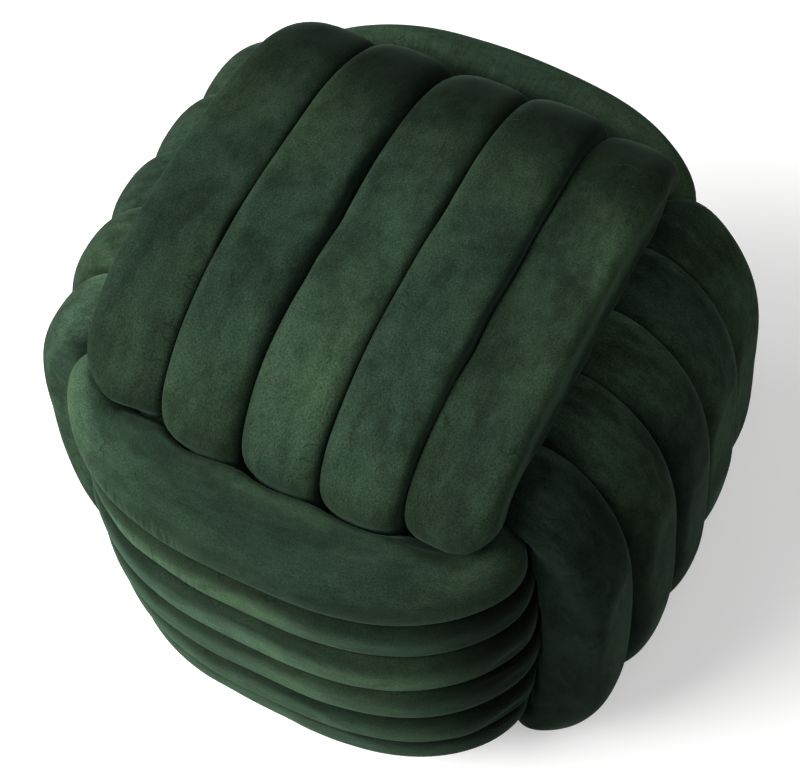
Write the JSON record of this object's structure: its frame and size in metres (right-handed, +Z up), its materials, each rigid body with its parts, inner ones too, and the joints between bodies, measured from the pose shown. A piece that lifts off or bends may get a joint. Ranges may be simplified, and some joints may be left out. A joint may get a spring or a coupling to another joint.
{
  "type": "knot pouf",
  "caption": "Soft round-cornered floor pouf: a stuffed velvet tube wound into a ball-shaped knot of interlocked turns, for sitting or resting feet on.",
  "frame": {"origin": "on the floor, under the middle of the pouf's box", "axes": "+Z up; -Y towards the side where the front turns lie across, +X towards the right side turns"},
  "size_m": [0.4606, 0.4528, 0.3931],
  "materials": {
    "velvet": "dark green velvet with a short brushed pile and a soft sheen at grazing angles"
  },
  "bodies": {
    "root": {"knot_pouf": "velvet"}
  },
  "joints": []
}
